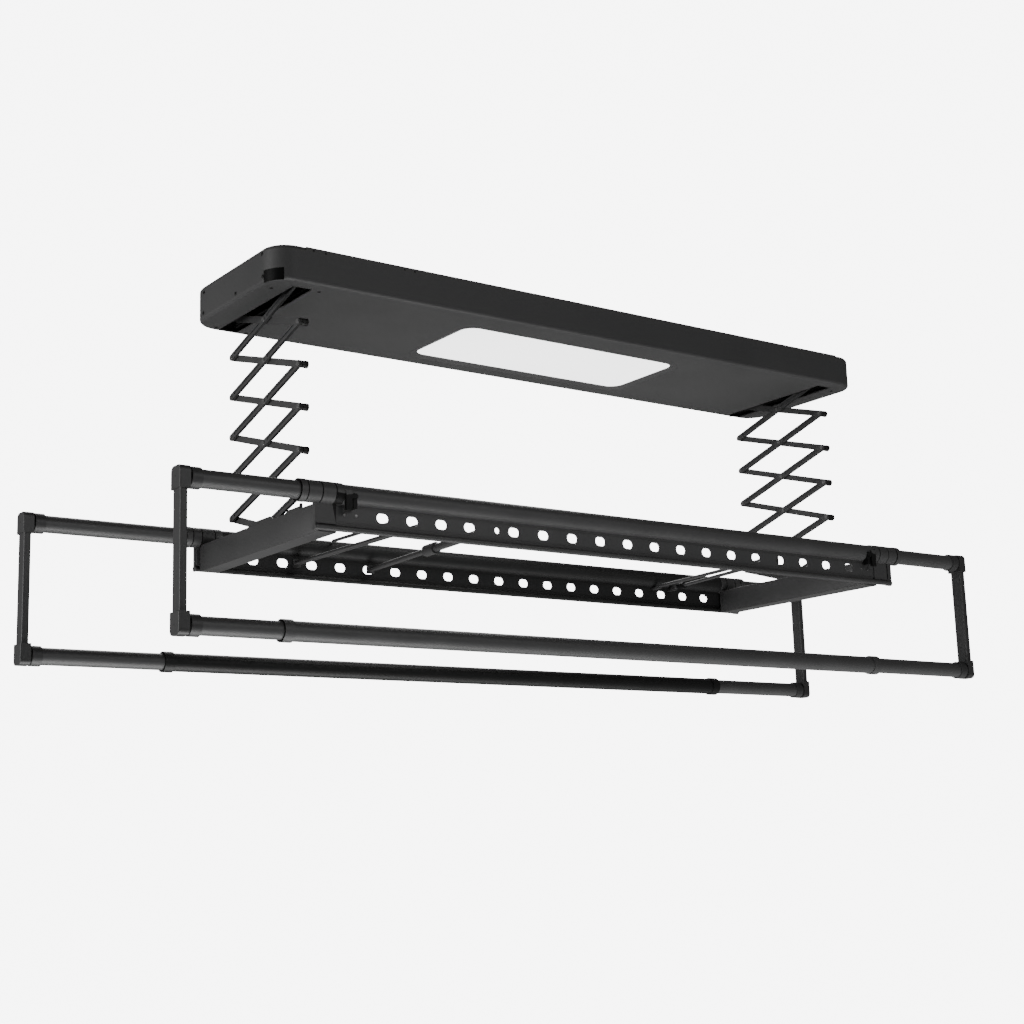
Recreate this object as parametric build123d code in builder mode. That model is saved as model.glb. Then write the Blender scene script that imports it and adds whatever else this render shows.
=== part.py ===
from build123d import *
from math import asin, cos, degrees, hypot, radians, sin
import os

os.makedirs("parts", exist_ok=True)

# Casing, a shallow box whose top plane is at height zero
casing_half_length = 676.0
casing_half_width = 155.0
casing_height = 61.0
cap_seam_x = 618.0
cap_corner_radius = 44.0
cap_wall = 3.5
cap_floor = 2.0
shell_wall = 1.5
bottom_edge_radius = 6.5
cap_top_radius = 7.0
slot_centre_x = 609.0
slot_width = 36.0
slot_near_y = -126.0
slot_far_y = 146.0
chassis_thickness = 2.0
chassis_gap = 0.5
mount_spacing_x = 1000.0
mount_spacing_y = 200.0
mount_hole_radius = 4.5
inlet_x = -400.0
inlet_y = 60.0
inlet_radius = 10.0
window_depth = 2.4
window_height = 21.0
window_start_angle = 186.0
window_end_angle = 238.0

# Light in the underside
light_length = 490.0
light_width = 188.0
light_corner_radius = 26.0
light_centre_x = -3.0
light_centre_y = 12.0
light_slope_width = 12.0
light_rim = 3.0
light_flange = 7.0
light_ledge = 4.0
diffuser_z = -56.5
diffuser_thickness = 3.0
light_top_z = -52.0
board_thickness = 1.6
part_gap = 0.3

# Lifting scissors, six crossings deep
stage_count = 6
scissor_x = 607.0
near_node_y = -115.0
far_node_y = 126.0
stage_height = 72.5
top_pivot_z = -43.0
arm_width = 12.0
arm_thickness = 5.0
arm_gap = 2.0
groove_width = 4.6
groove_depth = 1.2
groove_margin = 26.0
pin_radius = 3.0
shoulder_radius = 4.5
running_clearance = 0.05
rivet_head_radius = 4.2
rivet_head_height = 1.1
cap_radius = 6.4
cap_height = 5.5
boss_share = 0.75
boss_radius = 4.0
boss_height = 4.0

# Guide tracks and shoes above the slots
track_inner_half = 14.0
track_wall = 2.0
track_near_y = -130.0
track_far_y = 150.0
track_bottom_z = -54.0
lip_width = 3.5
lip_bottom_z = -53.0
lip_top_z = -51.0
lip_near_y = 10.0
shoe_inner = 7.5
shoe_outer = 13.9
shoe_back = 28.0
shoe_front = 10.0
shoe_half_height = 7.5
tab_offset = 22.0
tab_half_width = 4.0
tab_bottom_z = -45.4
tab_top_z = -41.5
tab_window_near_y = 22.0
tab_window_far_y = 120.0
clamp_half_length = 6.0
clamp_bottom_z = -45.4
clamp_top_z = -37.0

# Drive line in the casing
shaft_y = -85.0
drive_z = -31.0
shaft_radius = 5.0
shaft_half_length = 587.0
bearing_clearance = 0.06
bearing_x = 564.0
bearing_thickness = 8.0
bearing_half_width = 12.0
bearing_bottom_z = -44.0
wheel_x = 582.0
wheel_width = 8.0
wheel_flange_radius = 12.5
wheel_flange_width = 1.2
wheel_core_radius = 8.5
cable_run_radius = 10.0
cable_radius = 1.2
idler_y = 136.0
idler_axle_radius = 3.0
gearbox_half_x = 26.0
gearbox_near_y = -112.0
gearbox_far_y = -58.0
gearbox_bottom_z = -48.0
motor_radius = 17.0
motor_z = -22.0
motor_end_y = 36.0
motor_nose_radius = 11.0
motor_nose_end_y = 46.0
box_near_y = -30.0
box_far_y = 80.0
box_bottom_z = -46.0
control_box_start_x = 150.0
control_box_end_x = 310.0
power_supply_start_x = -330.0
power_supply_end_x = -170.0

# Rails and crossbars of the hanging frame
rail_spans = {-1: (-640.0, 652.0), 1: (-637.0, 641.0)}
web_spans = {-1: (-603.5, 615.5), 1: (-600.5, 604.5)}
rail_y = 215.0
tube_z = -425.0
tube_radius = 16.5
tube_bore = 14.9
neck_thickness = 2.5
neck_top_z = -440.9
band_thickness = 3.6
band_top_z = -446.0
band_bottom_z = -470.0
neck_bottom_z = -476.0
bead_z = -480.0
bead_radius = 5.0
bead_sleeve_radius = 5.8
bead_sleeve_length = 12.0
hole_length = 23.0
hole_height = 16.0
hole_z = -457.0
near_first_hole_x = -517.0
near_first_hole_count = 4
near_first_pitch = 56.0
near_second_hole_x = -259.0
near_second_hole_count = 14
near_second_pitch = 62.0
near_small_hole_x = -293.5
near_small_hole_radius = 5.5
far_first_hole_x = -525.0
far_hole_count = 19
far_pitch = 60.0
crossbar_x = 614.5
crossbar_width = 33.0
crossbar_wall = 1.6
crossbar_top_z = -439.0
crossbar_bottom_z = -486.3
notch_half_width = 9.0
notch_bottom_z = -471.0
crossbar_end_y = 209.0
crossbar_clearance_radius = 18.8
roller_radius = 5.5
roller_reach = 7.1
plate_thickness = 1.2
plate_bottom_z = -470.0
plate_profile = (
    (46.0, -443.0), (12.0, -433.0), (-48.0, -433.0), (-64.0, -442.0),
    (-92.0, -442.0), (-108.0, -434.5), (-150.0, -434.5), (-156.0, -446.0),
)
knob_y = -151.0
knob_z = -440.0
knob_radius = 5.0

# End castings that close the rails
casting_bore = 16.55
casting_core_radius = 17.2
casting_reach = {-1: 31.0, 1: 23.0}
casting_steps = (
    (20.0, 31.0, 18.4), (-5.0, 18.0, 17.9), (-29.5, -7.0, 18.1), (-45.0, -31.5, 17.9),
)
casting_back = 45.0
corner_half = 3.6
corner_top_z = -441.5
corner_bottom_z = -474.5
corner_back = 36.0
end_cap_thickness = 2.0
post_start = 3.0
post_foot = 2.0
post_end = 13.0
web_slot_half = 1.6
web_slot_bottom_z = -446.5
clip_start = 57.0
clip_end = 46.0
clip_reach = 19.5
clip_bottom_z = -453.0
latch_start = 67.0
latch_end = 60.0
latch_reach = 17.0

# Bars clamped between the rails
slant_rod_far = (-367.0, 200.6, -410.6)
slant_rod_near = (-486.0, -211.5, -457.0)
slant_rod_radius = 3.0
double_rod_far_x = -437.0
double_rod_near_x = -427.0
double_rod_gap = 8.0
double_rod_radius = 3.2
rod_z = -456.0
end_plate_thickness = 2.0
end_plate_half_length = 8.0
end_plate_half_height = 7.5
telescopic_far_x = -281.0
telescopic_near_x = -307.0
telescopic_outer_radius = 7.0
telescopic_inner_radius = 5.0
telescopic_collar_radius = 10.5
telescopic_split = 0.5
telescopic_collar_share = 0.08
folding_far_x = (412.0, 456.0)
folding_near_x = (332.0, 356.0)
folding_far_z = -443.0
folding_far_y = 194.0
folding_radius = 3.4
folding_joint_radius = 6.5
folding_joint_start = 0.05
folding_joint_end = 0.11

# Pull-out side frames and the low poles
pole_z = -646.0
pole_radius = 16.0
pole_bore = 14.9
pole_half_lengths = {"near": 643.0, "far": 627.0}
pole_centres = {"near": -49.0, "far": -62.0}
collar_radius = 18.0
collar_half_length = 9.0
inner_tube_radius = 14.5
inner_tube_bore = 13.0
inner_tube_length = 430.0
bar_thickness = 12.0
bar_width = 26.0
bar_edge_radius = 2.0
knuckle_outer = 8.5
knuckle_inner = 9.5
knuckle_half_width = 16.2
knuckle_top = 16.5
knuckle_socket = 19.0
knuckle_radius = 9.0
elbow_radius = 17.0
elbow_bore = 14.55
elbow_gap = 3.0
elbow_neck_radius = 16.0
elbow_sleeve = 17.0
bar_seat = 13.0
bar_positions = {
    "near_left": -866.0,
    "near_right": 870.0,
    "far_left": -943.0,
    "far_right": 836.0,
}

node_span = far_node_y - near_node_y
arm_length = hypot(node_span, stage_height)
arm_angle = degrees(asin(stage_height / arm_length))
outer_face = arm_gap / 2 + arm_thickness
last_node_z = top_pivot_z - stage_count * stage_height
eye_radius = pin_radius + running_clearance
cap_length = casing_half_length - cap_seam_x
cap_centre_x = (casing_half_length + cap_seam_x) / 2
chassis_length = 2 * (casing_half_length - cap_wall - chassis_gap)
chassis_width = 2 * (casing_half_width - cap_wall - chassis_gap)
shell_inner_y = casing_half_width - shell_wall
flange_depth = 12.0


def save(piece, name):
    piece.label = name
    export_step(piece, "parts/" + name + ".step")


def rod_x(x_start, x_end, y, z, radius, mode=Mode.ADD):
    with Locations(Location(((x_start + x_end) / 2, y, z), (0, 90, 0))):
        Cylinder(radius, abs(x_end - x_start), mode=mode)


def rod_y(x, z, y_start, y_end, radius, mode=Mode.ADD):
    with Locations(Location((x, (y_start + y_end) / 2, z), (90, 0, 0))):
        Cylinder(radius, abs(y_end - y_start), mode=mode)


def block(x_start, x_end, y_start, y_end, z_start, z_end, mode=Mode.ADD):
    centre = ((x_start + x_end) / 2, (y_start + y_end) / 2, (z_start + z_end) / 2)
    with Locations(centre):
        Box(abs(x_end - x_start), abs(y_end - y_start), abs(z_end - z_start), mode=mode)


def slot_edges(side):
    centre = side * slot_centre_x
    return centre - slot_width / 2, centre + slot_width / 2


# Top chassis: the steel plate that is screwed to the ceiling
with BuildPart() as top_chassis:
    with BuildSketch(Plane.XY.offset(-chassis_thickness)):
        RectangleRounded(chassis_length, chassis_width, cap_corner_radius - cap_wall - chassis_gap)
        Rectangle(2 * (cap_seam_x - 1), 2 * shell_inner_y)
        with GridLocations(mount_spacing_x, mount_spacing_y, 2, 2):
            Circle(mount_hole_radius, mode=Mode.SUBTRACT)
        with Locations((inlet_x, inlet_y)):
            Circle(inlet_radius, mode=Mode.SUBTRACT)
    extrude(amount=chassis_thickness)
    for side in (-1, 1):
        flange_y = side * (shell_inner_y - chassis_thickness)
        block(-bearing_x, bearing_x, flange_y, side * shell_inner_y, -flange_depth, 0)
        lug_start = side * bearing_x - bearing_thickness / 2
        lug_end = side * bearing_x + bearing_thickness / 2
        near_y = shaft_y - bearing_half_width
        far_y = shaft_y + bearing_half_width
        block(lug_start, lug_end, near_y, far_y, bearing_bottom_z, -chassis_thickness)
        bore = shaft_radius + bearing_clearance
        rod_x(lug_start, lug_end, shaft_y, drive_z, bore, Mode.SUBTRACT)
save(top_chassis.part, "top_chassis")

# Main shell: sides and underside bent from one sheet
with BuildPart() as main_shell:
    with BuildSketch(Plane.YZ.offset(-cap_seam_x)) as outline:
        with Locations((0, -casing_height / 2)):
            Rectangle(2 * casing_half_width, casing_height)
        fillet(outline.vertices().group_by(Axis.Y)[0], bottom_edge_radius)
    extrude(amount=2 * cap_seam_x)
    with BuildSketch(Plane.YZ.offset(-cap_seam_x)) as hollow:
        with Locations((0, (shell_wall - casing_height) / 2)):
            Rectangle(2 * shell_inner_y, casing_height - shell_wall)
        fillet(hollow.vertices().group_by(Axis.Y)[0], bottom_edge_radius - shell_wall)
    extrude(amount=2 * cap_seam_x, mode=Mode.SUBTRACT)
    for side in (-1, 1):
        low_x, high_x = slot_edges(side)
        floor_top = shell_wall - casing_height
        block(low_x, high_x, slot_near_y, slot_far_y, -casing_height, floor_top, Mode.SUBTRACT)
    with BuildSketch(Plane.XY.offset(-casing_height)):
        with Locations((light_centre_x, light_centre_y)):
            margin = 2 * (light_slope_width + light_rim)
            RectangleRounded(light_length + margin, light_width + margin, light_corner_radius + margin / 2)
    extrude(amount=shell_wall, mode=Mode.SUBTRACT)
save(main_shell.part, "main_shell")


def window_sector(outer_radius, gap):
    corner_x = cap_corner_radius - casing_half_length
    corner_y = cap_corner_radius - casing_half_width
    middle_angle = (window_start_angle + window_end_angle) / 2
    reach = 3 * cap_corner_radius
    angles = (window_start_angle + gap, middle_angle, window_end_angle - gap)
    points = [(0.0, 0.0)] + [(reach * cos(radians(a)), reach * sin(radians(a))) for a in angles]
    with BuildSketch(Plane.XY.offset(gap - casing_height)) as sector:
        with Locations((corner_x, corner_y)):
            Circle(outer_radius)
            Circle(cap_corner_radius - window_depth + gap, mode=Mode.SUBTRACT)
            Polygon(*points, align=None, mode=Mode.INTERSECT)
    return sector.sketch


def end_cap(side, with_window):
    seam_x = side * cap_seam_x
    outer = 0 if side < 0 else -1
    with BuildPart() as cap:
        with BuildSketch(Plane.XY.offset(-casing_height)) as outline:
            with Locations((side * cap_centre_x, 0)):
                Rectangle(cap_length, 2 * casing_half_width)
            fillet(outline.vertices().group_by(Axis.X)[outer], cap_corner_radius)
        extrude(amount=casing_height)
        low_edges = cap.faces().sort_by(Axis.Z)[0].edges()
        fillet([edge for edge in low_edges if abs(edge.center().X - seam_x) > 1], bottom_edge_radius)
        top_edges = cap.faces().sort_by(Axis.Z)[-1].edges()
        fillet([edge for edge in top_edges if abs(edge.center().X - seam_x) > 1], cap_top_radius)
        with BuildSketch(Plane.XY.offset(cap_floor - casing_height)) as cavity:
            with Locations((side * (cap_centre_x - cap_wall / 2), 0)):
                Rectangle(cap_length - cap_wall, 2 * (casing_half_width - cap_wall))
            fillet(cavity.vertices().group_by(Axis.X)[outer], cap_corner_radius - cap_wall)
        extrude(amount=casing_height, mode=Mode.SUBTRACT)
        low_x, high_x = slot_edges(side)
        floor_top = cap_floor - casing_height
        block(low_x, high_x, slot_near_y, slot_far_y, -casing_height, floor_top, Mode.SUBTRACT)
        if with_window:
            extrude(window_sector(cap_corner_radius + 1, 0), amount=window_height, mode=Mode.SUBTRACT)
    return cap.part


save(end_cap(-1, True), "left_end_cap")
save(end_cap(1, False), "right_end_cap")

# Dark window let into the low near corner of the left end cap
with BuildPart() as corner_window:
    sector = window_sector(cap_corner_radius - part_gap, part_gap)
    extrude(sector, amount=window_height - 2 * part_gap)
save(corner_window.part, "corner_window")

# Light: sloping frame, diffuser and lamp board
with BuildPart() as light_frame:
    low_length = light_length + 2 * light_slope_width
    low_width = light_width + 2 * light_slope_width
    low_corner = light_corner_radius + light_slope_width
    lip = 2 * (light_rim - part_gap)
    flange = 2 * (light_rim + light_flange)
    slope_top_z = diffuser_z - 1
    with BuildSketch(Plane.XY.offset(-casing_height)):
        with Locations((light_centre_x, light_centre_y)):
            RectangleRounded(low_length + lip, low_width + lip, low_corner + lip / 2)
    extrude(amount=light_top_z + casing_height)
    with BuildSketch(Plane.XY.offset(shell_wall - casing_height)):
        with Locations((light_centre_x, light_centre_y)):
            RectangleRounded(low_length + flange, low_width + flange, low_corner + flange / 2)
    extrude(amount=light_top_z + casing_height - shell_wall)
    with BuildSketch(Plane.XY.offset(-casing_height)):
        with Locations((light_centre_x, light_centre_y)):
            RectangleRounded(low_length, low_width, low_corner)
    with BuildSketch(Plane.XY.offset(slope_top_z)):
        with Locations((light_centre_x, light_centre_y)):
            RectangleRounded(light_length, light_width, light_corner_radius)
    loft(mode=Mode.SUBTRACT)
    with BuildSketch(Plane.XY.offset(slope_top_z)):
        with Locations((light_centre_x, light_centre_y)):
            RectangleRounded(light_length, light_width, light_corner_radius)
    extrude(amount=light_top_z - slope_top_z, mode=Mode.SUBTRACT)
    with BuildSketch(Plane.XY.offset(diffuser_z)):
        with Locations((light_centre_x, light_centre_y)):
            ledge = 2 * (light_ledge + part_gap)
            RectangleRounded(light_length + ledge, light_width + ledge, light_corner_radius + ledge / 2)
    extrude(amount=light_top_z - diffuser_z, mode=Mode.SUBTRACT)
save(light_frame.part, "light_frame")

with BuildPart() as light_diffuser:
    with BuildSketch(Plane.XY.offset(diffuser_z)):
        with Locations((light_centre_x, light_centre_y)):
            ledge = 2 * light_ledge
            RectangleRounded(light_length + ledge, light_width + ledge, light_corner_radius + light_ledge)
    extrude(amount=diffuser_thickness)
save(light_diffuser.part, "light_diffuser")

with BuildPart() as lamp_board:
    with BuildSketch(Plane.XY.offset(light_top_z)):
        with Locations((light_centre_x, light_centre_y)):
            cover = 2 * (light_ledge + light_rim)
            RectangleRounded(light_length + cover, light_width + cover, light_corner_radius + cover / 2)
    extrude(amount=board_thickness)
save(lamp_board.part, "lamp_board")


# Guide track above each slot, carrying the fixed upper pivot
def guide_track(side):
    middle = side * scissor_x
    reach = track_inner_half + track_wall
    inboard = middle - side * reach
    with BuildPart() as track:
        block(middle - reach, middle + reach, track_near_y, track_far_y, track_bottom_z, -chassis_thickness)
        web_bottom = -chassis_thickness - track_wall
        low_x = middle - track_inner_half
        high_x = middle + track_inner_half
        block(low_x, high_x, track_near_y, track_far_y, track_bottom_z, web_bottom, Mode.SUBTRACT)
        for x in (low_x, high_x - lip_width):
            block(x, x + lip_width, lip_near_y, track_far_y, lip_bottom_z, lip_top_z)
        window_end = inboard + side * track_wall
        block(inboard, window_end, tab_window_near_y, tab_window_far_y,
              tab_bottom_z - 1, tab_top_z + 1, Mode.SUBTRACT)
        rod_x(low_x, high_x, near_node_y, top_pivot_z, pin_radius)
        arm_low = middle - outer_face - running_clearance
        rod_x(low_x, arm_low, near_node_y, top_pivot_z, shoulder_radius)
        arm_high = middle - arm_gap / 2 + running_clearance
        rod_x(arm_high, high_x, near_node_y, top_pivot_z, shoulder_radius)
        axle_end = side * (wheel_x - wheel_width / 2)
        rod_x(inboard, axle_end, idler_y, drive_z, idler_axle_radius)
    return track.part


save(guide_track(-1), "left_guide_track")
save(guide_track(1), "right_guide_track")


# Sliding shoe that holds the upper far end of each scissor
def slider_shoe(side):
    middle = side * scissor_x
    near_y = far_node_y - shoe_back
    far_y = far_node_y + shoe_front
    low_z = top_pivot_z - shoe_half_height
    high_z = top_pivot_z + shoe_half_height
    with BuildPart() as shoe:
        for facing in (-1, 1):
            inner_x = middle + facing * shoe_inner
            outer_x = middle + facing * shoe_outer
            block(inner_x, outer_x, near_y, far_y, low_z, high_z)
        rod_x(middle - shoe_inner, middle + shoe_inner, far_node_y, top_pivot_z, pin_radius)
        shoulder_end = middle + arm_gap / 2 - running_clearance
        rod_x(middle - shoe_inner, shoulder_end, far_node_y, top_pivot_z, shoulder_radius)
        shoulder_start = middle + outer_face + running_clearance
        rod_x(shoulder_start, middle + shoe_inner, far_node_y, top_pivot_z, shoulder_radius)
        tab_y = far_node_y - tab_offset
        tab_start = middle - side * shoe_inner
        tab_end = side * (wheel_x - 2)
        block(tab_start, tab_end, tab_y - tab_half_width, tab_y + tab_half_width, tab_bottom_z, tab_top_z)
        clamp_x = side * wheel_x
        near_y = tab_y - clamp_half_length
        far_y = tab_y + clamp_half_length
        block(clamp_x - 3, clamp_x + 3, near_y, far_y, clamp_bottom_z, clamp_top_z)
        cable_z = drive_z - cable_run_radius
        rod_y(clamp_x, cable_z, near_y, far_y, cable_radius + 0.1, Mode.SUBTRACT)
    return shoe.part


save(slider_shoe(-1), "left_slider")
save(slider_shoe(1), "right_slider")


def cable_wheel(centre_x, y, z):
    low_x = centre_x - wheel_width / 2
    high_x = centre_x + wheel_width / 2
    rod_x(low_x, high_x, y, z, wheel_core_radius)
    rod_x(low_x, low_x + wheel_flange_width, y, z, wheel_flange_radius)
    rod_x(high_x - wheel_flange_width, high_x, y, z, wheel_flange_radius)


# Cross shaft with a cable wheel at each end, and the two idler wheels
with BuildPart() as cross_shaft:
    rod_x(-shaft_half_length, shaft_half_length, shaft_y, drive_z, shaft_radius)
    for side in (-1, 1):
        cable_wheel(side * wheel_x, shaft_y, drive_z)
save(cross_shaft.part, "cross_shaft")

with BuildPart() as idler_wheels:
    for side in (-1, 1):
        cable_wheel(side * wheel_x, idler_y, drive_z)
        bore = idler_axle_radius + running_clearance
        rod_x(side * wheel_x - wheel_width, side * wheel_x + wheel_width, idler_y, drive_z, bore, Mode.SUBTRACT)
save(idler_wheels.part, "idler_wheels")

# Pulling cables: one closed loop beside each guide track
with BuildPart() as pull_cables:
    for side in (-1, 1):
        with BuildLine(Plane.YZ.offset(side * wheel_x)) as loop:
            low = drive_z - cable_run_radius
            high = drive_z + cable_run_radius
            Line((shaft_y, low), (idler_y, low))
            ThreePointArc((idler_y, low), (idler_y + cable_run_radius, drive_z), (idler_y, high))
            Line((idler_y, high), (shaft_y, high))
            ThreePointArc((shaft_y, high), (shaft_y - cable_run_radius, drive_z), (shaft_y, low))
        with BuildSketch(Plane(origin=loop.wires()[0] @ 0, z_dir=loop.wires()[0] % 0)):
            Circle(cable_radius)
        sweep(path=loop.wires()[0])
save(pull_cables.part, "pull_cables")

# Gearbox on the shaft, motor behind it
with BuildPart() as gearbox:
    block(-gearbox_half_x, gearbox_half_x, gearbox_near_y, gearbox_far_y, gearbox_bottom_z, -chassis_thickness)
    fillet(gearbox.edges().filter_by(Axis.Z), 4)
    bore = shaft_radius + bearing_clearance
    rod_x(-gearbox_half_x, gearbox_half_x, shaft_y, drive_z, bore, Mode.SUBTRACT)
save(gearbox.part, "gearbox")

with BuildPart() as drive_motor:
    rod_y(0, motor_z, gearbox_far_y, motor_end_y, motor_radius)
    rod_y(0, motor_z, motor_end_y, motor_nose_end_y, motor_nose_radius)
save(drive_motor.part, "drive_motor")


def cover_box(start_x, end_x):
    with BuildPart() as cover:
        block(start_x, end_x, box_near_y, box_far_y, box_bottom_z, -chassis_thickness)
        fillet(cover.edges().filter_by(Axis.Z), 5)
        fillet(cover.faces().sort_by(Axis.Z)[0].edges(), 2)
    return cover.part


save(cover_box(control_box_start_x, control_box_end_x), "control_box")
save(cover_box(power_supply_start_x, power_supply_end_x), "power_supply")


# Scissor arms: an a arm falls away from the near node, a b arm comes back to it
def node_point(stage, near):
    return (near_node_y if near else far_node_y, top_pivot_z - stage * stage_height)


def scissor_arm(side, stage, kind):
    middle = side * scissor_x
    starts_near = kind == "a"
    start = node_point(stage - 1, starts_near)
    finish = node_point(stage, not starts_near)
    centre = ((start[0] + finish[0]) / 2, (start[1] + finish[1]) / 2)
    tilt = -arm_angle if starts_near else arm_angle
    inner_x = middle - arm_gap / 2 if starts_near else middle + arm_gap / 2
    outer_x = middle - outer_face if starts_near else middle + outer_face
    low_x = min(inner_x, outer_x)
    across = middle + outer_face if starts_near else middle - outer_face
    outward = -1 if starts_near else 1
    is_foot = stage == stage_count
    with BuildPart() as arm:
        with BuildSketch(Plane.YZ.offset(low_x)):
            with Locations(centre):
                SlotCenterToCenter(arm_length, arm_width, rotation=tilt)
            with Locations(start):
                Circle(eye_radius, mode=Mode.SUBTRACT)
            if not starts_near:
                with Locations(centre):
                    Circle(eye_radius, mode=Mode.SUBTRACT)
                if is_foot:
                    with Locations(finish):
                        Circle(eye_radius, mode=Mode.SUBTRACT)
        extrude(amount=arm_thickness)
        groove_x = low_x if starts_near else low_x + arm_thickness - groove_depth
        with BuildSketch(Plane.YZ.offset(groove_x)):
            for end in (start, finish):
                with Locations(((centre[0] + end[0]) / 2, (centre[1] + end[1]) / 2)):
                    SlotOverall(arm_length / 2 - groove_margin, groove_width, rotation=tilt)
        extrude(amount=groove_depth, mode=Mode.SUBTRACT)
        pins = [centre, finish] if starts_near else [finish]
        if is_foot:
            pins = [centre] if starts_near else []
        for y, z in pins:
            gap_end = across + outward * (arm_thickness + running_clearance)
            rod_x(inner_x, gap_end, y, z, shoulder_radius)
            head_start = across - outward * running_clearance
            head_end = head_start - outward * rivet_head_height
            rod_x(inner_x, head_end, y, z, pin_radius)
            rod_x(head_start, head_end, y, z, rivet_head_radius)
            rod_x(outer_x, outer_x + outward * rivet_head_height, y, z, rivet_head_radius)
        if not starts_near and not is_foot:
            rod_x(outer_x, outer_x + cap_height, finish[0], finish[1], cap_radius)
        if not starts_near and stage == 1:
            boss_y = start[0] + boss_share * (finish[0] - start[0])
            boss_z = start[1] + boss_share * (finish[1] - start[1])
            rod_x(outer_x - groove_depth, outer_x + boss_height, boss_y, boss_z, boss_radius)
        if starts_near and is_foot:
            rod_x(middle - roller_reach, middle + roller_reach, finish[0], finish[1], pin_radius)
            rod_x(middle - roller_reach, outer_x - 1, finish[0], finish[1], roller_radius)
            rod_x(inner_x + 1, middle + roller_reach, finish[0], finish[1], roller_radius)
    return arm.part


for side, side_name in ((-1, "left"), (1, "right")):
    for stage in range(1, stage_count + 1):
        for kind in ("a", "b"):
            save(scissor_arm(side, stage, kind), f"{side_name}_arm_{stage}{kind}")


# Rails: a round tube over a pierced band over a round bead, drawn as one section
def rail(side, slots, small_holes):
    y = side * rail_y
    start_x, end_x = rail_spans[side]
    web_start, web_end = web_spans[side]
    with BuildPart() as piece:
        block(web_start, web_end, y - neck_thickness / 2, y + neck_thickness / 2,
              neck_bottom_z, neck_top_z)
        block(web_start, web_end, y - band_thickness / 2, y + band_thickness / 2,
              band_bottom_z, band_top_z)
        rod_x(start_x, end_x, y, tube_z, tube_radius)
        rod_x(start_x, end_x, y, tube_z, tube_bore, Mode.SUBTRACT)
        rod_x(start_x, end_x, y, bead_z, bead_radius)
        with BuildSketch(Plane.XZ.offset(-y - band_thickness)):
            with Locations([(x, hole_z) for x in slots]):
                SlotOverall(hole_length, hole_height)
            with Locations([(x, hole_z) for x in small_holes]):
                Circle(near_small_hole_radius)
        extrude(amount=2 * band_thickness, mode=Mode.SUBTRACT)
    return piece.part


near_slots = [near_first_hole_x + i * near_first_pitch for i in range(near_first_hole_count)]
near_slots += [near_second_hole_x + i * near_second_pitch for i in range(near_second_hole_count)]
far_slots = [far_first_hole_x + i * far_pitch for i in range(far_hole_count)]
save(rail(-1, near_slots, [near_small_hole_x]), "near_rail")
save(rail(1, far_slots, []), "far_rail")


# Crossbars: folded channels open at the top, with the scissor's fixed foot pin
def crossbar(side):
    middle = side * crossbar_x
    half = crossbar_width / 2
    inner = half - crossbar_wall
    arm_x = side * scissor_x
    with BuildPart() as bar:
        block(middle - half, middle + half, -crossbar_end_y, crossbar_end_y,
              crossbar_bottom_z, crossbar_top_z)
        block(middle - inner, middle + inner, -crossbar_end_y, crossbar_end_y,
              crossbar_bottom_z + crossbar_wall, crossbar_top_z, Mode.SUBTRACT)
        for end in (-1, 1):
            block(middle - half, middle + half, end * (crossbar_end_y - crossbar_wall),
                  end * crossbar_end_y, crossbar_bottom_z, crossbar_top_z)
            rod_x(middle - half, middle + half, end * rail_y, tube_z, crossbar_clearance_radius, Mode.SUBTRACT)
        if side < 0:
            block(middle + inner, middle + half, near_node_y - notch_half_width,
                  near_node_y + notch_half_width, notch_bottom_z, crossbar_top_z, Mode.SUBTRACT)
        rod_x(middle - half, middle + half, near_node_y, last_node_z, pin_radius)
        arm_low = arm_x + arm_gap / 2 - running_clearance
        arm_high = arm_x + outer_face + running_clearance
        rod_x(middle - half, arm_low, near_node_y, last_node_z, shoulder_radius)
        rod_x(arm_high, middle + half, near_node_y, last_node_z, shoulder_radius)
    return bar.part


save(crossbar(-1), "left_crossbar")
save(crossbar(1), "right_crossbar")

# Foot plates: raised cheeks with a stop knob, on the outer wall of each crossbar
with BuildPart() as foot_plates:
    for side in (-1, 1):
        outer_wall = side * (crossbar_x + crossbar_width / 2 - crossbar_wall)
        inner_face = outer_wall - side * plate_thickness
        outline = [(plate_profile[0][0], plate_bottom_z), *plate_profile, (plate_profile[-1][0], plate_bottom_z)]
        with BuildSketch(Plane.YZ.offset(min(outer_wall, inner_face))):
            Polygon(*outline, align=None)
        extrude(amount=plate_thickness)
        rod_x(inner_face, outer_wall, knob_y, knob_z + knob_radius, knob_radius)
        block(inner_face, outer_wall, knob_y - knob_radius, knob_y + knob_radius,
              plate_bottom_z, knob_z + knob_radius)
save(foot_plates.part, "foot_plates")


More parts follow.
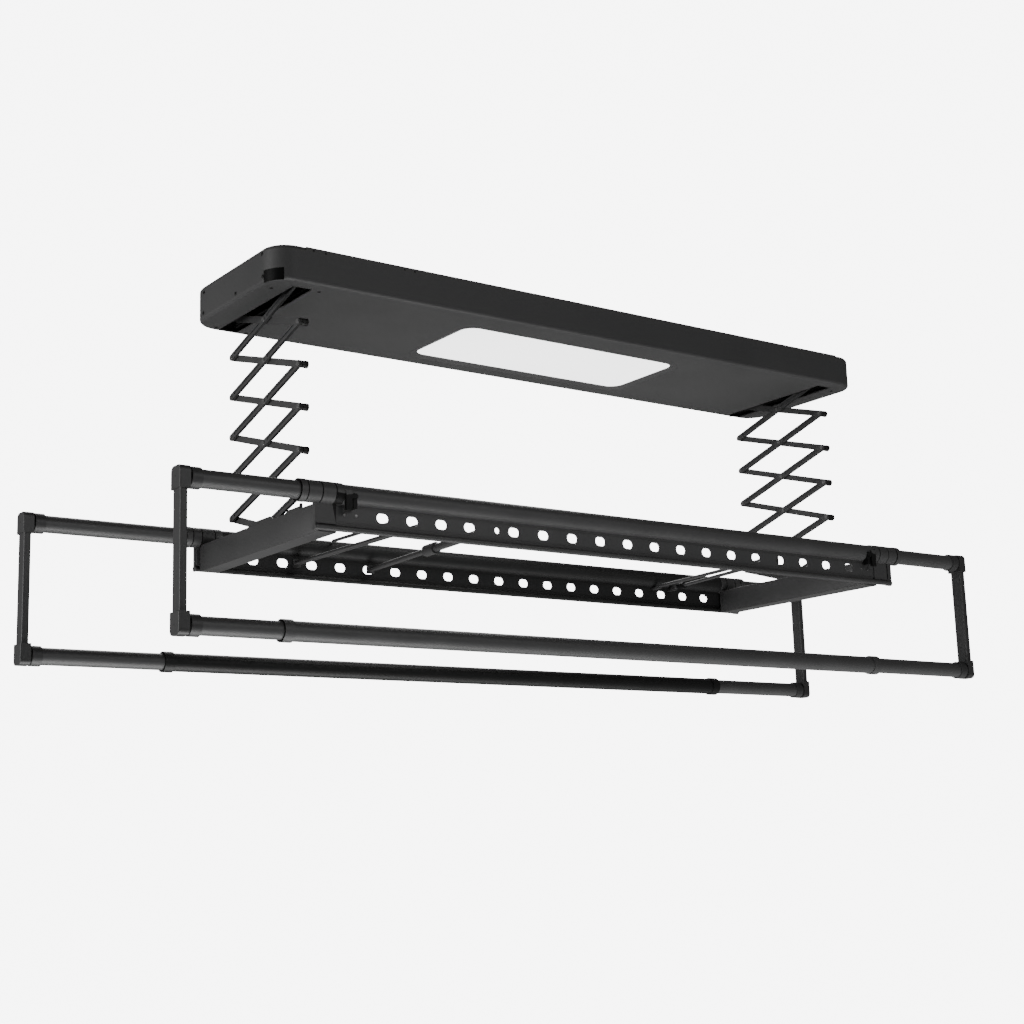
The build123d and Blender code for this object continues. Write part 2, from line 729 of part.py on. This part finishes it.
# End castings: sleeves round the tube ends, each with a corner block and a clip
def add_end_casting(side, face):
    y = face * rail_y
    end = abs(rail_spans[face][0 if side < 0 else 1])
    reach = end + casting_reach[face]
    trim = casting_reach[-1] - casting_reach[face]
    rod_x(side * (end - casting_back), side * reach, y, tube_z, casting_core_radius)
    for low, high, radius in casting_steps:
        start = low - trim if low > 0 else low
        finish = high - trim if high > 0 else high
        rod_x(side * (end + start), side * (end + finish), y, tube_z, radius)
    block(side * (end - clip_start), side * (end - clip_end), y + face * 14, y + face * clip_reach,
          clip_bottom_z, tube_z)
    block(side * (end - clip_start), side * (end - casting_back), y + face * 17, y + face * clip_reach,
          tube_z - 4, tube_z + 4)
    block(side * (end - latch_start), side * (end - latch_end), y + face * 4, y + face * latch_reach,
          clip_bottom_z + 4, tube_z)
    block(side * (end - latch_start), side * (end - clip_start), y + face * 14, y + face * clip_reach,
          tube_z - 8, tube_z - 2)
    block(side * (end - corner_back), side * end, face * crossbar_end_y, y + face * corner_half,
          corner_bottom_z, corner_top_z)
    if side > 0:
        block(end, end + post_end, y - corner_half, y + corner_half, bead_z, tube_z - casting_core_radius + 1)
        block(end, end + post_start, y - corner_half, y + corner_half, corner_bottom_z + post_foot,
              corner_top_z, Mode.SUBTRACT)
    rod_x(side * (end - latch_start - 1), side * end, y, tube_z, casting_bore, Mode.SUBTRACT)
    rod_x(side * end, side * reach, y, tube_z, tube_bore, Mode.SUBTRACT)
    block(side * (end - corner_back), side * (end - casting_back - 1), y - web_slot_half, y + web_slot_half,
          web_slot_bottom_z, tube_z, Mode.SUBTRACT)
    sleeve_end = end + (bead_sleeve_length if side > 0 else end_cap_thickness)
    rod_x(side * end, side * sleeve_end, y, bead_z, bead_sleeve_radius)
    if side < 0:
        block(-sleeve_end, -end, y - corner_half, y + corner_half, bead_z, corner_top_z)


with BuildPart() as end_castings:
    for side in (-1, 1):
        for face in (-1, 1):
            add_end_casting(side, face)
save(end_castings.part, "end_castings")


# Bars between the rails: slanted rod, double rod, telescopic rod, folding pair
def end_plate(x, face, half_length):
    start_y = face * (rail_y - band_thickness / 2)
    end_y = start_y - face * end_plate_thickness
    block(x - half_length, x + half_length, start_y, end_y,
          rod_z - end_plate_half_height, rod_z + end_plate_half_height)


def slanted_rod(start, finish, radius):
    direction = Vector(*finish) - Vector(*start)
    middle = (Vector(*start) + Vector(*finish)) * 0.5
    with Locations(Plane(origin=middle, z_dir=direction)):
        Cylinder(radius, direction.length)


def part_way(start, finish, share):
    return tuple(a + share * (b - a) for a, b in zip(start, finish))


with BuildPart() as cross_rods:
    inner_y = rail_y - band_thickness / 2 - end_plate_thickness / 2
    slanted_rod(slant_rod_far, slant_rod_near, slant_rod_radius)
    end_plate(slant_rod_near[0], -1, end_plate_half_length)
    for far_x, near_x in ((double_rod_far_x, double_rod_near_x), (telescopic_far_x, telescopic_near_x)):
        end_plate(far_x, 1, end_plate_half_length)
        end_plate(near_x, -1, end_plate_half_length)
    for shift in (-double_rod_gap / 2, double_rod_gap / 2):
        far_end = (double_rod_far_x + shift, inner_y, rod_z)
        near_end = (double_rod_near_x + shift, -inner_y, rod_z)
        slanted_rod(far_end, near_end, double_rod_radius)
    far_end = (telescopic_far_x, inner_y, rod_z)
    near_end = (telescopic_near_x, -inner_y, rod_z)
    split = part_way(far_end, near_end, telescopic_split)
    collar_end = part_way(far_end, near_end, telescopic_split + telescopic_collar_share)
    slanted_rod(far_end, split, telescopic_inner_radius)
    slanted_rod(split, near_end, telescopic_outer_radius)
    slanted_rod(split, collar_end, telescopic_collar_radius)
    near_middle = sum(folding_near_x) / 2
    end_plate(near_middle, -1, 2 * end_plate_half_length)
    for far_x, near_x in zip(folding_far_x, folding_near_x):
        far_end = (far_x, folding_far_y, folding_far_z)
        near_end = (near_x, 0.5 - inner_y, rod_z)
        slanted_rod(far_end, near_end, folding_radius)
        block(far_x - 4, far_x + 4, folding_far_y - 4, rail_y - band_thickness / 2,
              rod_z + end_plate_half_height, folding_far_z - 2)
    joint_start = part_way(far_end, near_end, folding_joint_start)
    joint_end = part_way(far_end, near_end, folding_joint_end)
    slanted_rod(joint_start, joint_end, folding_joint_radius)
save(cross_rods.part, "cross_rods")


# Low poles: a tube with a collar at each end
def low_pole(face, centre_x, half_length):
    y = face * rail_y
    with BuildPart() as pole:
        rod_x(centre_x - half_length, centre_x + half_length, y, pole_z, pole_radius)
        for side in (-1, 1):
            end_x = centre_x + side * half_length
            start = end_x - side * collar_half_length
            finish = end_x + side * collar_half_length
            rod_x(start, finish, y, pole_z, collar_radius)
        reach = half_length + collar_half_length
        rod_x(centre_x - reach, centre_x + reach, y, pole_z, pole_bore, Mode.SUBTRACT)
    return pole.part


save(low_pole(-1, pole_centres["near"], pole_half_lengths["near"]), "near_pole")
save(low_pole(1, pole_centres["far"], pole_half_lengths["far"]), "far_pole")


# Side frames: two inner tubes and, between them, an upright with two elbows
def inner_tubes(side, face, bar_x):
    y = face * rail_y
    outer_x = bar_x - side * knuckle_inner
    inner_x = bar_x - side * inner_tube_length
    with BuildPart() as tubes:
        for z in (tube_z, pole_z):
            rod_x(inner_x, outer_x, y, z, inner_tube_radius)
            rod_x(inner_x, outer_x, y, z, inner_tube_bore, Mode.SUBTRACT)
    return tubes.part


def elbow(side, y, z, bar_x, toward):
    with BuildPart() as joint:
        outer_x = bar_x + side * knuckle_outer
        inner_x = bar_x - side * knuckle_inner
        block(outer_x, inner_x, y - knuckle_half_width, y + knuckle_half_width,
              z - toward * knuckle_top, z + toward * knuckle_socket)
        edges = joint.edges().filter_by(Axis.X).group_by(Axis.Z)
        fillet(edges[0 if toward > 0 else -1], knuckle_radius)
        fillet(joint.faces().sort_by(Axis.X)[0 if side < 0 else -1].edges(), 1.5)
        neck_x = inner_x - side * elbow_gap
        rod_x(inner_x, neck_x, y, z, elbow_neck_radius)
        rod_x(neck_x, neck_x - side * elbow_sleeve, y, z, elbow_radius)
        rod_x(inner_x, neck_x - side * elbow_sleeve, y, z, elbow_bore, Mode.SUBTRACT)
        block(bar_x - bar_thickness / 2, bar_x + bar_thickness / 2, y - bar_width / 2,
              y + bar_width / 2, z + toward * bar_seat, z + toward * knuckle_socket, Mode.SUBTRACT)
    return joint.part


def upright(side, face, bar_x):
    y = face * rail_y
    with BuildPart() as bar:
        block(bar_x - bar_thickness / 2, bar_x + bar_thickness / 2, y - bar_width / 2,
              y + bar_width / 2, pole_z + bar_seat, tube_z - bar_seat)
        fillet(bar.edges().filter_by(Axis.Z), bar_edge_radius)
    parts = [bar.part, elbow(side, y, tube_z, bar_x, -1), elbow(side, y, pole_z, bar_x, 1)]
    return Compound(children=parts)


for corner, bar_x in bar_positions.items():
    face = -1 if corner.startswith("near") else 1
    side = -1 if corner.endswith("left") else 1
    save(inner_tubes(side, face, bar_x), corner + "_inner_tubes")
    save(upright(side, face, bar_x), corner + "_side_frame")
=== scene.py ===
import bpy
import math
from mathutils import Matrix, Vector


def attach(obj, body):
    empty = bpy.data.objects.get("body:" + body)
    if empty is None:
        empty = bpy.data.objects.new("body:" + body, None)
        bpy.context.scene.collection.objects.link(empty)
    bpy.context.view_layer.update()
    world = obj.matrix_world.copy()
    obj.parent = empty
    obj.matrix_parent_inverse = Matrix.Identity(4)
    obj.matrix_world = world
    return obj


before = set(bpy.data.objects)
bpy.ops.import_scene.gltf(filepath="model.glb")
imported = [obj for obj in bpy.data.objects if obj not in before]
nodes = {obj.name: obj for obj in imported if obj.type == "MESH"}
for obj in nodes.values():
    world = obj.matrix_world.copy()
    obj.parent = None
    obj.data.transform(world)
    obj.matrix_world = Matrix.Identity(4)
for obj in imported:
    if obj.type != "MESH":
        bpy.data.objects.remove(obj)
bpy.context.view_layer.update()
print("frame loaded", len(nodes), "nodes")


# materials: colour, roughness and bump vary by noise in object space

def newMaterial(name):
    mat = bpy.data.materials.new(name)
    mat.use_nodes = True
    return mat, mat.node_tree.nodes, mat.node_tree.links


def powderCoat(name, look):
    mat, tree, links = newMaterial(name)
    shader = tree["Principled BSDF"]
    coords = tree.new("ShaderNodeTexCoord")

    cloud = tree.new("ShaderNodeTexNoise")
    cloud.inputs["Scale"].default_value = look["cloudScale"]
    cloud.inputs["Detail"].default_value = 3
    links.new(coords.outputs["Object"], cloud.inputs["Vector"])

    tone = tree.new("ShaderNodeValToRGB")
    low = look["color"] * (1 - look["vary"])
    high = look["color"] * (1 + look["vary"])
    tone.color_ramp.elements[0].position = 0.3
    tone.color_ramp.elements[1].position = 0.7
    tone.color_ramp.elements[0].color = (low, low, low * look["cool"], 1)
    tone.color_ramp.elements[1].color = (high, high, high * look["cool"], 1)
    links.new(cloud.outputs["Fac"], tone.inputs["Fac"])
    links.new(tone.outputs["Color"], shader.inputs["Base Color"])

    rough = tree.new("ShaderNodeMapRange")
    rough.inputs["To Min"].default_value = look["rough"] - 0.05
    rough.inputs["To Max"].default_value = look["rough"] + 0.05
    links.new(cloud.outputs["Fac"], rough.inputs["Value"])
    links.new(rough.outputs["Result"], shader.inputs["Roughness"])

    grain = tree.new("ShaderNodeTexNoise")
    grain.inputs["Scale"].default_value = look["grainScale"]
    grain.inputs["Detail"].default_value = 2
    links.new(coords.outputs["Object"], grain.inputs["Vector"])
    bump = tree.new("ShaderNodeBump")
    bump.inputs["Strength"].default_value = look["bump"]
    bump.inputs["Distance"].default_value = 0.0002
    links.new(grain.outputs["Fac"], bump.inputs["Height"])
    links.new(bump.outputs["Normal"], shader.inputs["Normal"])

    shader.inputs["Metallic"].default_value = look["metal"]
    shader.inputs["Specular IOR Level"].default_value = look["specular"]
    return mat


coatLook = {"color": 0.034, "vary": 0.08, "cool": 1.01, "cloudScale": 9, "rough": 0.5,
            "grainScale": 1600, "bump": 0.22, "metal": 0.0, "specular": 0.42}
casingPaint = powderCoat("casingPaint", coatLook | {"rough": 0.55})
framePaint = powderCoat("framePaint", coatLook | {"color": 0.036, "rough": 0.45})
armPaint = powderCoat("armPaint", coatLook | {"color": 0.044, "rough": 0.4, "cloudScale": 30})
# painted shade: a near black copy of the arm coat for the side faces of the scissor arms
armEdgeShade = powderCoat("armEdgeShade", coatLook | {"color": 0.014, "rough": 0.5, "cloudScale": 30,
                                                      "specular": 0.25})
railCoat = powderCoat("railCoat", coatLook | {"color": 0.05, "rough": 0.45, "cloudScale": 14})
barCoat = powderCoat("barCoat", coatLook | {"color": 0.03, "rough": 0.45, "cloudScale": 14})
# painted shade: darker copies of the rail coat for the far rail and far pole, which sit out of the light
farRailShade = powderCoat("farRailShade", coatLook | {"color": 0.013, "rough": 0.5, "cloudScale": 14,
                                                    "specular": 0.25})
farPoleShade = powderCoat("farPoleShade", coatLook | {"color": 0.007, "rough": 0.45, "cloudScale": 14,
                                                    "specular": 0.3})
fittingPlastic = powderCoat("fittingPlastic", coatLook | {"color": 0.045, "rough": 0.48, "grainScale": 900})
blackPlastic = powderCoat("blackPlastic", coatLook | {"color": 0.004, "rough": 0.5, "bump": 0.1,
                                                      "specular": 0.2})
# painted shade: near black for the gaps and joints between sleeves, collars and elbows
blackRubber = powderCoat("blackRubber", coatLook | {"color": 0.002, "rough": 0.7, "bump": 0.3,
                                                    "specular": 0.1})
coverPlastic = powderCoat("coverPlastic", coatLook | {"color": 0.05, "rough": 0.55, "grainScale": 900})
windowGloss = powderCoat("windowGloss", coatLook | {"color": 0.002, "rough": 0.3, "bump": 0.02,
                                                    "specular": 0.15})
metalLook = {"cool": 1.0, "bump": 0.2, "metal": 1.0, "specular": 0.5}
zincPlate = powderCoat("zincPlate", metalLook | {"color": 0.42, "vary": 0.15, "cool": 1.04, "cloudScale": 40,
                                                 "rough": 0.38, "grainScale": 700})
rivetSteel = powderCoat("rivetSteel", metalLook | {"color": 0.22, "vary": 0.12, "cloudScale": 300,
                                                   "rough": 0.4, "grainScale": 2500})
wireSteel = powderCoat("wireSteel", metalLook | {"color": 0.35, "vary": 0.2, "cloudScale": 400,
                                                 "rough": 0.45, "grainScale": 3000, "bump": 0.5})
boardWhite = powderCoat("boardWhite", coatLook | {"color": 0.7, "vary": 0.03, "rough": 0.5})


def opalMaterial():
    mat, tree, links = newMaterial("opalDiffuser")
    shader = tree["Principled BSDF"]
    coords = tree.new("ShaderNodeTexCoord")
    cloud = tree.new("ShaderNodeTexNoise")
    cloud.inputs["Scale"].default_value = 5
    cloud.inputs["Detail"].default_value = 2
    links.new(coords.outputs["Object"], cloud.inputs["Vector"])
    tone = tree.new("ShaderNodeValToRGB")
    tone.color_ramp.elements[0].color = (0.74, 0.745, 0.75, 1)
    tone.color_ramp.elements[1].color = (0.8, 0.8, 0.8, 1)
    links.new(cloud.outputs["Fac"], tone.inputs["Fac"])
    links.new(tone.outputs["Color"], shader.inputs["Base Color"])
    links.new(tone.outputs["Color"], shader.inputs["Emission Color"])
    shader.inputs["Emission Strength"].default_value = 3.2
    shader.inputs["Roughness"].default_value = 0.35
    grain = tree.new("ShaderNodeTexNoise")
    grain.inputs["Scale"].default_value = 500
    links.new(coords.outputs["Object"], grain.inputs["Vector"])
    bump = tree.new("ShaderNodeBump")
    bump.inputs["Strength"].default_value = 0.08
    bump.inputs["Distance"].default_value = 0.0003
    links.new(grain.outputs["Fac"], bump.inputs["Height"])
    links.new(bump.outputs["Normal"], shader.inputs["Normal"])
    return mat


opalDiffuser = opalMaterial()

nodeMaterials = {
    "main_shell": casingPaint, "left_end_cap": casingPaint, "right_end_cap": casingPaint,
    "light_frame": casingPaint, "corner_window": windowGloss, "light_diffuser": opalDiffuser,
    "lamp_board": boardWhite, "top_chassis": zincPlate, "left_guide_track": blackPlastic,
    "right_guide_track": blackPlastic, "gearbox": zincPlate, "drive_motor": zincPlate,
    "control_box": coverPlastic, "power_supply": coverPlastic, "pull_cables": wireSteel,
    "cross_shaft": zincPlate, "idler_wheels": coverPlastic, "left_slider": blackPlastic,
    # the far rail and far pole take the painted-shade coats
    "right_slider": blackPlastic, "near_rail": railCoat, "far_rail": farRailShade,
    "near_pole": railCoat, "far_pole": farPoleShade, "left_crossbar": framePaint,
    "right_crossbar": framePaint, "foot_plates": framePaint, "cross_rods": framePaint,
    "end_castings": fittingPlastic,
}


def paint(obj, mat):
    obj.data.materials.clear()
    obj.data.materials.append(mat)


def softenEdges(obj, width, angle=35):
    weld = obj.modifiers.new("weld", "WELD")
    weld.merge_threshold = 0.00001
    bevel = obj.modifiers.new("bevel", "BEVEL")
    bevel.width = width
    bevel.segments = 2
    bevel.limit_method = "ANGLE"
    bevel.angle_limit = math.radians(angle)


def smoothShade(obj, angle=32):
    bpy.ops.object.select_all(action="DESELECT")
    obj.select_set(True)
    bpy.context.view_layer.objects.active = obj
    bpy.ops.object.shade_smooth_by_angle(angle=math.radians(angle))


def paintWhere(obj, mat, test):
    # a second material on the faces whose centre passes the test
    obj.data.materials.append(mat)
    index = len(obj.data.materials) - 1
    matrix = obj.matrix_world
    for face in obj.data.polygons:
        if test(matrix @ face.center, matrix.to_3x3() @ face.normal):
            face.material_index = index


for name, obj in nodes.items():
    if "_arm_" in name:
        mat = armPaint
    elif name.endswith("_inner_tubes"):
        mat = railCoat
    elif name.endswith("_side_frame"):
        mat = barCoat
    else:
        mat = nodeMaterials[name]
    paint(obj, mat)
    smoothShade(obj)

# the arm edges get painted shade, rivet heads stay bare steel, the caps on the near ends are black
scissor = {"x": 0.607, "armFace": 0.0061, "nearY": -0.115, "capRadius": 0.0068}


def onArmEdge(center, normal):
    return abs(normal.x) < 0.5


def onRivet(center, normal):
    return abs(abs(center.x) - scissor["x"]) > scissor["armFace"]


def onCap(center, normal):
    right = center.x - math.copysign(scissor["x"], center.x)
    return right > scissor["armFace"] and abs(center.y - scissor["nearY"]) < scissor["capRadius"]


for name, obj in nodes.items():
    if "_arm_" in name:
        paintWhere(obj, armEdgeShade, onArmEdge)
        paintWhere(obj, rivetSteel, onRivet)
        if name.endswith("b"):
            paintWhere(obj, blackPlastic, onCap)

# painted shade: black rings in the gaps between the sleeves, and black end faces where one tube enters the
# next
tube = {"topZ": -0.425, "lowZ": -0.646, "y": 0.215}
sleeve = {"gapRadius": (0.0169, 0.0174), "endFaceRadius": (0.0145, 0.0183), "endFaceX": 0.655}
elbow = {"gapRadius": (0.0157, 0.01604)}


def within(value, limits):
    return limits[0] < value < limits[1]


def fromTube(center, level):
    return math.hypot(abs(center.y) - tube["y"], center.z - level)


def onSleeveGap(center, normal):
    away = fromTube(center, tube["topZ"])
    ring = abs(normal.x) < 0.3 and within(away, sleeve["gapRadius"])
    endFace = abs(normal.x) > 0.9 and within(away, sleeve["endFaceRadius"]) and abs(center.x) > sleeve["endFaceX"]
    return ring or endFace


def onCollarEndFace(center, normal):
    return abs(normal.x) > 0.9 and abs(center.x) > 0.5 and center.x * normal.x > 0


def onElbowGap(center, normal):
    away = min(fromTube(center, tube["topZ"]), fromTube(center, tube["lowZ"]))
    return abs(normal.x) < 0.3 and within(away, elbow["gapRadius"])


paintWhere(nodes["end_castings"], blackRubber, onSleeveGap)
for name in ("near_pole", "far_pole"):
    paintWhere(nodes[name], blackRubber, onCollarEndFace)
for name in ("near_left", "near_right", "far_left", "far_right"):
    paintWhere(nodes[name + "_side_frame"], blackRubber, onElbowGap)

# clips on the castings, knobs on the foot plates, the joint of the folding rod
darkFittings = {"clipTopZ": -0.426, "clipY": 0.2185, "clipX": (0.57, 0.608), "knobY": -0.1455,
                "jointX": 0.43, "jointY": (0.146, 0.178)}


def onClip(center, normal):
    outside = center.z < darkFittings["clipTopZ"] and abs(center.y) > darkFittings["clipY"]
    return outside and within(abs(center.x), darkFittings["clipX"])


def onKnob(center, normal):
    return center.y < darkFittings["knobY"]


def onFoldingJoint(center, normal):
    return center.x > darkFittings["jointX"] and within(center.y, darkFittings["jointY"])


paintWhere(nodes["end_castings"], blackPlastic, onClip)
paintWhere(nodes["foot_plates"], blackPlastic, onKnob)
paintWhere(nodes["cross_rods"], blackPlastic, onFoldingJoint)

edgeWidths = {"left_crossbar": 0.0008, "right_crossbar": 0.0008, "foot_plates": 0.0004}
for name, width in edgeWidths.items():
    softenEdges(nodes[name], width)
print("materials on", len(nodes), "nodes")


# small fixed pieces

def deselect():
    bpy.ops.object.select_all(action="DESELECT")


def joinPieces(pieces, name):
    deselect()
    for piece in pieces:
        piece.select_set(True)
    bpy.context.view_layer.objects.active = pieces[0]
    if len(pieces) > 1:
        bpy.ops.object.join()
    whole = bpy.context.object
    whole.name = name
    bpy.ops.object.transform_apply(location=True, rotation=True, scale=True)
    return whole


def addDisc(place, radius, depth, axis, segments=20):
    # a low button with a soft rim, its face looking along axis
    deselect()
    bpy.ops.mesh.primitive_cylinder_add(vertices=segments, radius=radius, depth=depth, location=place)
    disc = bpy.context.object
    disc.rotation_euler = Vector(axis).to_track_quat("Z", "Y").to_euler()
    bpy.ops.object.mode_set(mode="EDIT")
    bpy.ops.mesh.select_all(action="DESELECT")
    bpy.ops.object.mode_set(mode="OBJECT")
    for face in disc.data.polygons:
        face.select = face.normal.z > 0.9
    bpy.ops.object.mode_set(mode="EDIT")
    bpy.ops.mesh.bevel(offset=radius * 0.3, segments=2, affect="EDGES")
    bpy.ops.object.mode_set(mode="OBJECT")
    return disc


def addScrew(place, axis, radius):
    # a pan head with a round socket sunk in it
    screw = addDisc(place, radius, radius * 0.5, axis)
    bpy.ops.object.mode_set(mode="EDIT")
    bpy.ops.mesh.select_all(action="DESELECT")
    bpy.ops.object.mode_set(mode="OBJECT")
    top = max(screw.data.polygons, key=lambda face: face.center.z)
    top.select = True
    bpy.ops.object.mode_set(mode="EDIT")
    bpy.ops.mesh.inset(thickness=radius * 0.3)
    bpy.ops.mesh.extrude_region_move(TRANSFORM_OT_translate={"value": (0, 0, -radius * 0.3),
                                                             "orient_type": "NORMAL"})
    bpy.ops.object.mode_set(mode="OBJECT")
    return screw


casingScrews = {
    "radius": 0.0032, "underZ": -0.0612, "endX": 0.6762, "sideY": -0.1552, "sideDepth": 0.0006,
    "under": [(-0.653, -0.099), (-0.637, 0.136), (-0.576, -0.122), (0.56, 0.14), (0.603, 0.1485),
              (0.646, -0.11), (-0.576, 0.14)],
    "ends": [(-0.016, -0.050), (0.104, -0.013), (-0.111, -0.010), (0.106, -0.050), (-0.113, -0.049)],
    "side": [(-0.604, -0.005), (-0.581, -0.0055), (-0.427, -0.005), (-0.407, -0.0055)],
    "sideRadius": 0.0019,
}


def addCasingScrews():
    size = casingScrews
    pieces = [addScrew((x, y, size["underZ"]), (0, 0, -1), size["radius"]) for x, y in size["under"]]
    for side in (-1, 1):
        for y, z in size["ends"]:
            pieces.append(addScrew((side * size["endX"], y, z), (side, 0, 0), size["radius"]))
    for x, z in size["side"]:
        pieces.append(addDisc((x, size["sideY"], z), size["sideRadius"], size["sideDepth"], (0, -1, 0), 12))
    screws = joinPieces(pieces, "casingScrews")
    smoothShade(screws)
    paint(screws, blackPlastic)
    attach(screws, "casing")


addCasingScrews()

# rivets that hold each pierced band to its corner casting
railRivets = {"radius": 0.0028, "depth": 0.001, "bandHalf": 0.0018, "z": -0.4575,
              "near": (-0.588, -0.566, 0.583, 0.601), "far": (-0.586, 0.574, 0.59)}


def addRailRivets():
    size = railRivets
    out = tube["y"] + size["bandHalf"]
    pieces = []
    for x in size["near"]:
        pieces.append(addDisc((x, -out, size["z"]), size["radius"], size["depth"], (0, -1, 0)))
    for x in size["far"]:
        pieces.append(addDisc((x, out, size["z"]), size["radius"], size["depth"], (0, 1, 0)))
    rivets = joinPieces(pieces, "railRivets")
    smoothShade(rivets)
    paint(rivets, rivetSteel)
    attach(rivets, "hanging_frame")


addRailRivets()

# one pin through each elbow, flush with its outer face
elbowPins = {"radius": 0.0016, "depth": 0.0008, "centre": 0.00811,
             "bars": {"near_left": -0.866, "near_right": 0.870, "far_left": -0.943, "far_right": 0.836}}


def addElbowPins():
    size = elbowPins
    for corner, barX in size["bars"].items():
        side = math.copysign(1, barX)
        y = -tube["y"] if corner.startswith("near") else tube["y"]
        pieces = []
        for z in (tube["topZ"], tube["lowZ"]):
            place = (barX + side * size["centre"], y, z)
            pieces.append(addDisc(place, size["radius"], size["depth"], (side, 0, 0), 12))
        pins = joinPieces(pieces, corner + "ElbowPins")
        smoothShade(pins)
        paint(pins, blackPlastic)
        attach(pins, corner + "_frame")


addElbowPins()
print("screws, rivets and pins added")


# stage

def addBackdrop():
    size = {"floorZ": -3.2, "backY": 9.0, "width": 40.0, "height": 16.0, "frontY": -12.0, "radius": 5.0}
    bpy.ops.mesh.primitive_plane_add(size=1, location=(0, 0, 0))
    backdrop = bpy.context.object
    backdrop.name = "backdrop"
    mesh = backdrop.data
    mesh.clear_geometry()
    profile = [(size["frontY"], size["floorZ"])]
    for step in range(13):
        angle = math.radians(90 * step / 12)
        y = size["backY"] - size["radius"] + size["radius"] * math.sin(angle)
        z = size["floorZ"] + size["radius"] - size["radius"] * math.cos(angle)
        profile.append((y, z))
    profile.append((size["backY"], size["height"]))
    half = size["width"] / 2
    verts = [(x, y, z) for y, z in profile for x in (-half, half)]
    faces = [(2 * i, 2 * i + 1, 2 * i + 3, 2 * i + 2) for i in range(len(profile) - 1)]
    mesh.from_pydata(verts, [], faces)
    backdrop.rotation_euler = (0, 0, math.radians(-36))
    bpy.ops.object.select_all(action="DESELECT")
    backdrop.select_set(True)
    bpy.ops.object.transform_apply(rotation=True)
    for face in mesh.polygons:
        face.use_smooth = True
    mat, tree, links = newMaterial("backdropPaper")
    shader = tree["Principled BSDF"]
    coords = tree.new("ShaderNodeTexCoord")
    cloud = tree.new("ShaderNodeTexNoise")
    cloud.inputs["Scale"].default_value = 1.5
    links.new(coords.outputs["Object"], cloud.inputs["Vector"])
    tone = tree.new("ShaderNodeValToRGB")
    tone.color_ramp.elements[0].color = (0.86, 0.86, 0.86, 1)
    tone.color_ramp.elements[1].color = (0.88, 0.88, 0.88, 1)
    links.new(cloud.outputs["Fac"], tone.inputs["Fac"])
    links.new(tone.outputs["Color"], shader.inputs["Base Color"])
    links.new(tone.outputs["Color"], shader.inputs["Emission Color"])
    shader.inputs["Emission Strength"].default_value = 8.0
    shader.inputs["Roughness"].default_value = 0.9
    mesh.materials.append(mat)
    # the paper only backs the view, the lamps and the sky light the object
    backdrop.visible_diffuse = False
    backdrop.visible_glossy = False
    backdrop.visible_shadow = False


addBackdrop()

world = bpy.data.worlds.new("studioWorld")
bpy.context.scene.world = world
world.use_nodes = True
background = world.node_tree.nodes["Background"]
background.inputs["Color"].default_value = (1, 1, 1, 1)
skyStrength = {"seen": 7.0, "lighting": 0.175}
rayKind = world.node_tree.nodes.new("ShaderNodeLightPath")
strength = world.node_tree.nodes.new("ShaderNodeMapRange")
strength.inputs["To Min"].default_value = skyStrength["lighting"]
strength.inputs["To Max"].default_value = skyStrength["seen"]
world.node_tree.links.new(rayKind.outputs["Is Camera Ray"], strength.inputs["Value"])
world.node_tree.links.new(strength.outputs["Result"], background.inputs["Strength"])


def addAreaLight(name, place, target, size, power):
    bpy.ops.object.light_add(type="AREA", location=place)
    light = bpy.context.object
    light.name = name
    light.data.shape = "RECTANGLE"
    light.data.size = size[0]
    light.data.size_y = size[1]
    light.data.energy = power
    light.rotation_euler = (Vector(target) - Vector(place)).to_track_quat("-Z", "Y").to_euler()
    return light


studioLights = {
    "leftLight": {"place": (-4.2, 0.5, -0.4), "target": (0, 0, -0.3), "size": (2.2, 2.2), "power": 130},
    "lowLight": {"place": (-0.3, -0.5, -5.6), "target": (0, 0, 0), "size": (5.0, 5.0), "power": 560},
    "frontLight": {"place": (0.6, -3.6, 0.9), "target": (0, 0, -0.5), "size": (2.4, 1.2), "power": 26},
    "backLight": {"place": (1.6, 3.6, 3.2), "target": (0, 0, -0.3), "size": (3.0, 3.0), "power": 90},
}
for name, lamp in studioLights.items():
    addAreaLight(name, lamp["place"], lamp["target"], lamp["size"], lamp["power"])

view = {"place": (-1.9324, -2.5066, -0.9967), "turn": (101.4602, 1.7413, -35.7538), "lens": 60.413}
bpy.ops.object.camera_add(location=view["place"])
camera = bpy.context.object
camera.name = "camera"
camera.rotation_euler = [math.radians(angle) for angle in view["turn"]]
camera.data.lens = view["lens"]
camera.data.sensor_width = 36
camera.data.clip_end = 200
bpy.context.scene.camera = camera
print("stage, lights and camera set")
